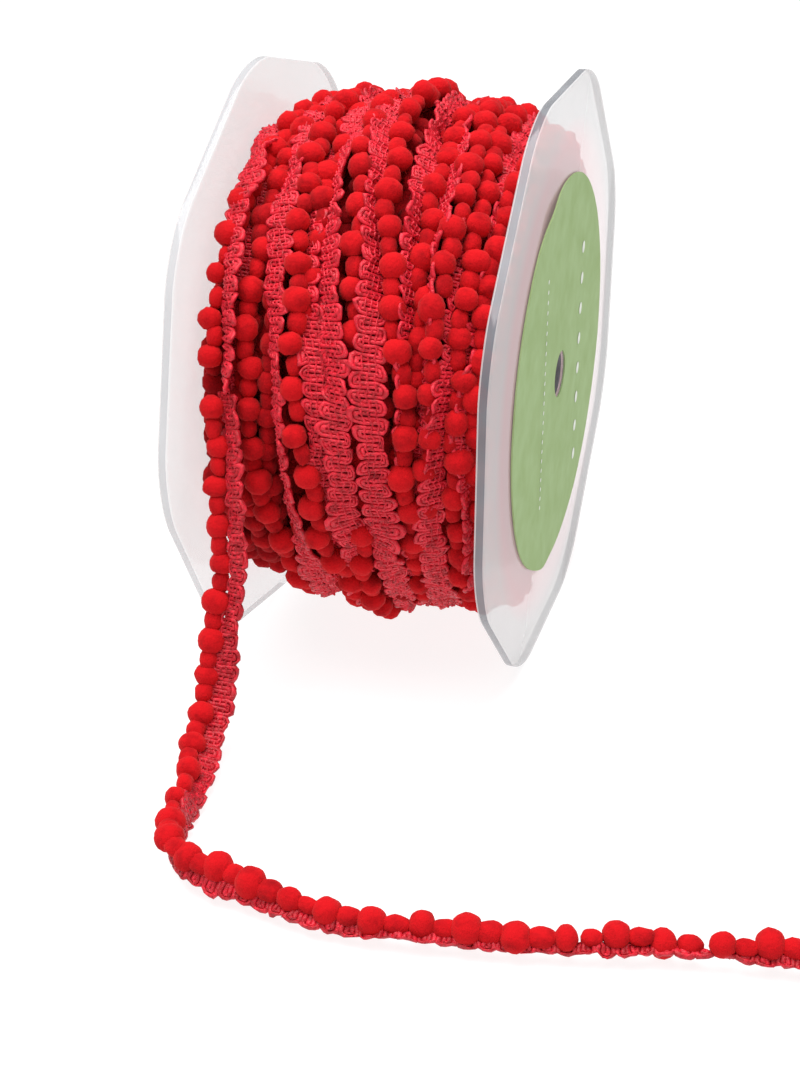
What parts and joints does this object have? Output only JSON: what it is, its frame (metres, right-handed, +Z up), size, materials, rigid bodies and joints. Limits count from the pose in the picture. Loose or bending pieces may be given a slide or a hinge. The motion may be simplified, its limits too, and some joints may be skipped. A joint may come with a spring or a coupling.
{
  "type": "roll of pompom trim on a clear plastic spool",
  "caption": "Roll of red braid trim edged with small pompoms, wound on a clear octagonal spool with a green paper label, its loose end lying in front.",
  "frame": {"origin": "on the table, under the middle of the spool", "axes": "+X along the spool's axis towards the labelled flange, +Y away from the loose end, +Z up"},
  "size_m": [0.1343, 0.1677, 0.1112],
  "materials": {
    "clear_plastic": "clear, polished, faintly scuffed",
    "core_plastic": "grey, satin",
    "label_paper": "uncoated green paper",
    "pompom_velvet": "matt short pile",
    "braid_yarn": "shiny crocheted yarn"
  },
  "bodies": {
    "root": {"flange_left": "clear_plastic", "flange_right": "clear_plastic", "core": "core_plastic", "label": "label_paper", "wound_trim": "pompom_velvet", "loose_end_braid": "braid_yarn", "loose_end_pompoms": "pompom_velvet"}
  },
  "joints": []
}
